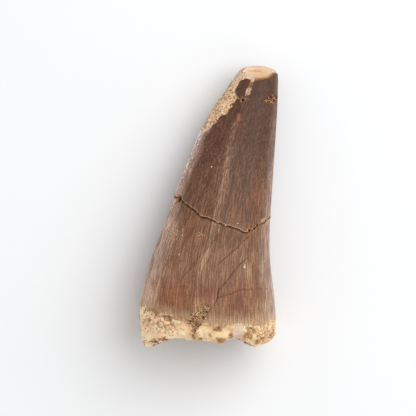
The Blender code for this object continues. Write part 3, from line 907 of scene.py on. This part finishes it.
def enamel_colour(s):
    """Darker towards the tip, with a red band, pale crests and edges, and fine threads along it."""
    low, high = ENAMEL[0][0], ENAMEL[-1][0]
    along = s.put("MapRange", Value=s.y, From_Min=low, From_Max=high).outputs[0]
    colour = s.ramp(along, *(((y - low) / (high - low), seen(*look)) for y, *look in ENAMEL))
    colour = s.mix(s.times("red", s.step(s.clouds, 0.25, 0.6, 0.3, 0.9)), colour, RED_BAND)
    colour = s.tint(colour, DEEP, "deep")
    # The rim: a painted highlight on the outermost strip of the pale edges, along the threads.
    rim = s.times(s.step("pale_edge_and_sheen", 0.5, 0.85), s.step(s.threads, 0.4, 0.6, 0.1, 0.9),
                  s.step(s.y, -3, 12, 0.12, 1))
    colour = s.over(
        colour,
        (s.times("streak", s.step(s.threads, *WIDE, 0.3, 0.85)),
         s.mix(s.step(s.y, -12, 0), STREAK_LOW, STREAK)),
        # The pale edges: pale enamel with a painted reflection of the floor over it.
        (s.times(s.step("pale_edge_and_sheen", 0.1, 0.62), s.step(s.strands, *WIDE, 0.5, 0.9)),
         s.mix(s.step(s.y, -11, -17), PALE_EDGE_AND_SHEEN, PALE_EDGE_AND_SHEEN_LOW)),
        (rim, EDGE_PAINTED_HIGHLIGHT),
    )
    furrow, crest = s.step(s.y, *THREAD_CHANGE, 0.38, 0.45), s.step(s.y, *THREAD_CHANGE, 0.72, 0.59)
    colour = s.tint(colour, s.mix(s.step(s.threads, furrow, crest), THREAD_DARK, THREAD_LIGHT))
    beige = s.times(s.step("root", -2.2, -0.1, 0, 0.8), s.step(s.threads, *NARROW, 0.4, 1))
    return s.mix(beige, toned_with_painted_light(s, colour), MARGIN_BEIGE)


def toned_with_painted_light(s, colour):
    """The enamel's random shades, with painted light at its front and painted shade at its rear."""
    # The last step is painted light: the front edge, turned from the lamp, is made up to a quarter
    # brighter.
    tone_and_painted_light = s.times(s.step(s.fine, *WIDE, 0.8, 1.2), s.step(s.strands, *WIDE, 0.88, 1.12),
                    s.step(s.clouds, *WIDE, 0.94, 1.06), s.step(s.rearward, -8.4, -5.5, 1.25, 1))
    # Painted light at the front and painted shade at the rear.
    colour = s.tint(colour, s.mix(s.step(s.rearward, -8, 6), FRONT_PAINTED_LIGHT, REAR_PAINTED_SHADE))
    # A painted sheen on the rear edge.
    colour = s.tint(colour, REAR_PAINTED_SHEEN, s.step(s.rearward, 6.5, 8.6))
    return s.tint(colour, tone_and_painted_light)


def spall_colour(s):
    """Bare dentine where the enamel has flaked off: golden, and pink at the tip, with sandy specks."""
    golden = s.times(s.step(s.y, 24, 22.6), s.step(s.y, 15, 17.5, 0.3, 0.75),
                     s.step(s.noise(s.at, GOLD_PATCH, 3), 0.3, 0.5, 0.3, 1))
    sandy = s.noise(s.at, SPALL_GRAIN, 3)
    dark = s.times(s.step(sandy, 0.46, 0.36), s.step(s.y, 24.2, 22.8, 0.3, 1))
    light = s.step(sandy, 0.52, 0.61)
    colour = s.over(SPALL_PINK, (golden, SPALL_GOLD), (dark, SPALL_DARK), (light, SPALL_LIGHT))
    # Painted light: the front, turned from the lamp, is made up to a quarter brighter.
    return s.tint(colour, s.step(s.rearward, -8.8, -3, 1.25, 1))


def root_colour(s):
    """Cream and tan, with brown specks and veins where it is broken, and sand on the base end."""
    speckled = s.math("MAXIMUM", "speckled", s.step(s.coarse, 0.56, 0.44, 0, 0.5))
    veins = s.times("speckled", s.step(s.cells(s.at, VEIN_CELL), 0.14, 0.04, 0, 0.6),
                    s.step(s.fine, 0.36, 0.52))
    colour = s.over(ROOT_TAN, (s.step(s.coarse, 0.42, 0.6), ROOT_CREAM),
                    (s.times(speckled, s.step(s.middling, 0.48, 0.38)), ROOT_BROWN), (veins, RUST_DARK))
    # Painted light: the root is made brighter towards its front, which is turned from the lamp.
    colour = s.tint(colour, s.mix(s.step(s.rearward, -8.8, -1), ROOT_FRONT_PAINTED_LIGHT, REAR_LIFT))
    inner = s.mix(s.step(s.coarse, 0.42, 0.56, 0.1, 0.9), ROOT_TAN, s.granular)
    return s.mix(s.step("end", 0.04, 0.2), colour, inner)


def with_wear(s, colour):
    """The worn facet of the tip, with a brown edge, and rust where it isn't worn."""
    wear = s.math("ADD", "worn", s.step(s.middling, *WIDE, -0.12, 0.12), s.step(s.x, 9, 13, 0, -0.35))
    worn = s.mix(s.step(s.y, 25, 27.2), WORN_CREAM, WORN_PINK)
    worn = s.over(worn, ("rust", PEACH), (s.step(s.middling, *NARROW, 0, 0.25), WORN_EDGE))
    return s.over(
        colour,
        (s.times(s.step(wear, -0.45, 0.05), s.step(s.on_bare, 0, 1, 0.85, 0.15)), WORN_EDGE),
        (s.step(wear, 0, 0.6), worn),
        (s.times("rust", s.step(wear, 0.1, -0.1), s.step(s.rough_ground, 0, 1, 0.35, 0.85)), s.rusty),
    )


def with_marks(s, colour):
    """Pale, dark and tan marks, the sand of the scar and the torn matter of the gash."""
    torn = s.ramp(s.noise(s.at, TEAR, 3), *zip((0.44, 0.54, 0.62, 0.7), GASH_COLOURS))
    return s.over(
        colour,
        (s.times("pale", s.step(s.fine, 0.34, 0.56, 0.4, 0.95)), PALE),
        (s.times("dark", s.step(s.middling, 0.36, 0.52, 0.55, 1)), s.granular),
        (s.step("scar", 0, 0.15), s.granular),
        (s.step("gash", 0, 0.15), torn),
        (s.times("tan", s.step(s.fine, 0.36, 0.56, 0.1, 0.9)), LIP_TAN),
    )


def with_cracks(s, colour):
    """The hairline cracks, the tan lip of the glued break and its dark gap, and the pits."""
    gap = s.math("MAXIMUM", s.step("lip", 0.04, 0.01), s.step("edge", 0.33, 0.15))
    broken = s.step(s.noise(s.at, CRACK_PATCH, 2), 0.38, 0.5, 0.45, 1)
    return s.over(
        colour,
        (s.times(s.step("hair", 0.2, 0.05), s.step(s.middling, 0.35, 0.55, 0.4, 0.9)), HAIR),
        (s.times(s.step("faint", 0.16, 0.04, 0, 0.7), s.step(s.middling, 0.36, 0.55, 0.2, 1)), HAIR),
        (s.times(s.step("lip", 0.3, 0.15), s.step(s.middling, 0.34, 0.52, 0.3, 0.9)), LIP_TAN),
        (s.times(gap, broken, s.step(s.x, -7.2, -6.2, 0.2, 1)), CRACK),
        (s.step("pit", 0.02, 0.15), s.mix(s.step("pit", 0.35, 0.6), s.rusty, CRACK)),
    )


def tooth_material():
    s = ToothShader()
    colour = s.over(enamel_colour(s), (s.on_root, root_colour(s)), (s.on_bare, spall_colour(s)))
    colour = with_cracks(s, with_marks(s, with_wear(s, colour)))
    height = s.math("ADD", s.times(s.threads, BUMP), s.times(s.fine, BUMP))
    bump = s.put("Bump", Height=s.times(height, MM), Strength=1, Distance=1)
    return s.coat(Base_Color=colour, Roughness=s.step(s.rough_ground, 0, 1, 0.55, 0.85),
                  Specular_IOR_Level=0.3, Sheen_Weight=0.12, Sheen_Roughness=0.35, Normal=bump.outputs[0])


def grain_material():
    """Sand and glue: from dark grains to pale ones, by each grain's tone."""
    s = Shader("grains")
    tone = s.math("ADD", "tone", s.step(s.noise(s.place(), GRAIN_MOTTLE, 2), *WIDE, -0.08, 0.08))
    colour = s.ramp(tone, *zip((0, 0.25, 0.5, 0.75, 1), SAND))
    return s.coat(Base_Color=colour, Roughness=0.6)


# ---- floor, light, camera

PIXEL = 55 / 281.3  # millimetres of the tooth across one pixel of the picture
PICTURE = 416
AIM = (-0.08, -0.5)  # the middle of the picture, x and y
LENS, SENSOR = 300, 36
MIDDLE_HEIGHT = 9  # where the tooth is widest, and the picture's scale is true

FLOOR_SIDE = 3
FLOOR_WHITE = (0.85, 0.86, 0.87, 1)
# The light: turn from +X towards +Y and rise over the floor in degrees, size and distance in metres, watts.
LIGHT_TURN, LIGHT_RISE, LIGHT_SIZE, LIGHT_AWAY, LIGHT_POWER = 35, 50, 0.8, 0.75, 5.75
WORLD_WHITE, WORLD_STRENGTH = (1, 1, 1, 1), 0.57


def floor():
    bpy.ops.mesh.primitive_plane_add(size=FLOOR_SIDE)
    made = bpy.context.object
    made.name = "floor"
    made.data.materials.append(
        Shader("floor white").coat(Base_Color=FLOOR_WHITE, Roughness=1, Specular_IOR_Level=0))


def soft_light():
    """An even pale room, and one large light above the tooth's rear edge."""
    world = bpy.data.worlds.new("soft room")
    world.use_nodes = True
    background = world.node_tree.nodes["Background"]
    background.inputs["Color"].default_value = WORLD_WHITE
    background.inputs["Strength"].default_value = WORLD_STRENGTH
    bpy.context.scene.world = world

    light = bpy.data.lights.new("key", "AREA")
    light.size, light.energy = LIGHT_SIZE, LIGHT_POWER
    lamp = bpy.data.objects.new("key", light)
    turn, rise = math.radians(LIGHT_TURN), math.radians(LIGHT_RISE)
    towards = Vector((math.cos(turn) * math.cos(rise), math.sin(turn) * math.cos(rise), math.sin(rise)))
    lamp.location = towards * LIGHT_AWAY
    lamp.rotation_euler = (-towards).to_track_quat("-Z", "Y").to_euler()
    bpy.context.scene.collection.objects.link(lamp)


def camera():
    data = bpy.data.cameras.new("camera")
    data.lens, data.sensor_width = LENS, SENSOR
    made = bpy.data.objects.new("camera", data)
    away = PIXEL * PICTURE * LENS / SENSOR + MIDDLE_HEIGHT
    made.location = Vector((*AIM, away)) * MM
    bpy.context.scene.collection.objects.link(made)
    bpy.context.scene.camera = made
    bpy.context.scene.view_settings.view_transform = "Standard"


# ---- where the grains lie

SPALL_FADE, WEAR_CLEAR = 0.4, 0.2  # in from the flake's edge, and away from the facet
ROOT_CLEAR, PALE_CLEAR = 0.2, 0.2
ROOT_SHARE, DARK_SHARE, SPECKLED_SHARE, LOWER_SHARE = 0.06, 3, 0.35, 0.25
SCAR_REACH, END_CLEAR = 0.1, 0.1
GLUE_REACH, GLUE_FROM = 0.22, -5.5  # above the break, and in x


def on_upper(fields, points):
    return (points[:, 2] > UPPER_FROM) * (fields["end"] == 0)


def past(field, least):
    """Grains where a field of the upper side is past this."""
    return lambda fields, points: (fields[field] > least) * on_upper(fields, points)


def spall_sand(fields, _):
    return smooth(fields["bare"] / SPALL_FADE) * (fields["worn"] < -WEAR_CLEAR) * (fields["end"] == 0)


def root_sand(fields, points):
    broken = np.maximum(DARK_SHARE * fields["dark"], SPECKLED_SHARE * fields["speckled"])
    share = ROOT_SHARE + broken + LOWER_SHARE * (points[:, 2] < UPPER_FROM)
    return (fields["root"] > ROOT_CLEAR) * (fields["pale"] < PALE_CLEAR) * share


def end_sand(fields, points):
    return (fields["end"] > END_CLEAR) * (points[:, 1] < 0)


def glue(fields, points):
    return (fields["lip"] < GLUE_REACH) * on_upper(fields, points) * (points[:, 0] > GLUE_FROM)


def near(spots):
    """Grains about spots of the upper side, given as (x, y, spread across, spread along)."""
    def wanted(fields, points):
        x, y = points[:, 0], points[:, 1]
        share = sum(np.exp(-((x - a) / wide) ** 2 - ((y - b) / tall) ** 2) for a, b, wide, tall in spots)
        return share * on_upper(fields, points)
    return wanted


CHIPS = ((11.2, -3.1, 0.6, 0.35), (12.1, -2, 0.3, 0.6), (9.8, -3.9, 0.4, 0.25), (8.2, -4.7, 0.5, 0.3))
SPRINKLES = ((-6.9, -5.3, 1.1, 0.9), (-6.4, -4.3, 0.5, 0.5), (-1.4, -5.6, 0.45, 0.45),
             (1.9, -4.8, 0.3, 0.4))
SPECKS = ((-6.04, -6.36), (-5.04, -5.78), (-5.55, -9.36), (-8.6, -15.1), (3.3, -3.8), (1.9, -3.2),
          (5.6, -3.5), (0.7, 7.5), (1, -18.6))
SPECK_SPREAD = 0.06

# ---- the whole scene

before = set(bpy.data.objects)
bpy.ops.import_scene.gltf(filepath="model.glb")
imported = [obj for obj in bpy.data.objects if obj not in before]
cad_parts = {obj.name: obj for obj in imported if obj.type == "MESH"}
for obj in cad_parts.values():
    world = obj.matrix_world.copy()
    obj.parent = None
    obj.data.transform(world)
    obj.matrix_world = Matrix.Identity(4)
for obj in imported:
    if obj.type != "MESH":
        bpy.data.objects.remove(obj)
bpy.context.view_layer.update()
TOOTH_MATERIAL = tooth_material()
GRAIN_MATERIAL = grain_material()
ROOT_FRAGMENT = Fragment("fragment_root", 560, BASE_END, 24,
                         ((RIM, MARGIN, 40, 0.3), (MARGIN, BREAK, 100, 0.5)), 6, GLUED_END)
MIDDLE_FRAGMENT = Fragment("fragment_middle", 440, GLUED_END, 6,
                           ((BREAK, TIP_BREAK, 130, 0.5),), 6, CLOSED_END)
TIP_FRAGMENT = Fragment("fragment_tip", 320, CLOSED_END, 6, ((TIP_BREAK, TIP_Y, 44, 0.5),), 14, TIP_END)
ALL_FRAGMENTS = (ROOT_FRAGMENT, MIDDLE_FRAGMENT, TIP_FRAGMENT)
for fragment in ALL_FRAGMENTS:
    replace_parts(fragment.build(), "tooth")

# The grains: piece, fragments, where they lie, how many, and the ranges of their radii and tones.
GRAINS = (
    ("sand_on_spall", ALL_FRAGMENTS, spall_sand, 1700, (0.05, 0.13), (0.42, 1)),
    ("sand_on_root", (ROOT_FRAGMENT,), root_sand, 1800, (0.06, 0.15), (0.25, 1)),
    ("sand_in_scar", (ROOT_FRAGMENT,), past("scar", -SCAR_REACH), 360, (0.08, 0.18), (0.25, 1)),
    ("sand_in_end", (ROOT_FRAGMENT,), end_sand, 2200, (0.1, 0.24), (0.1, 0.95)),
    ("sand_in_gash", ALL_FRAGMENTS, past("gash", 0), 34, (0.06, 0.12), (0.7, 1)),
    ("glue_beads", (MIDDLE_FRAGMENT,), glue, 34, (0.05, 0.1), (0.7, 1)),
    ("sand_sprinkled", ALL_FRAGMENTS, near(SPRINKLES), 190, (0.06, 0.11), (0.6, 1)),
    ("pale_specks", ALL_FRAGMENTS, near([(x, y, SPECK_SPREAD, SPECK_SPREAD) for x, y in SPECKS]), 16,
     (0.13, 0.18), (0.95, 1)),
    ("grains_on_break", ALL_FRAGMENTS, near(CHIPS), 70, (0.06, 0.13), (0.2, 0.9)),
)
for seed, grains in enumerate(GRAINS, 1):
    scatter(*grains, seed)
floor()
soft_light()
camera()
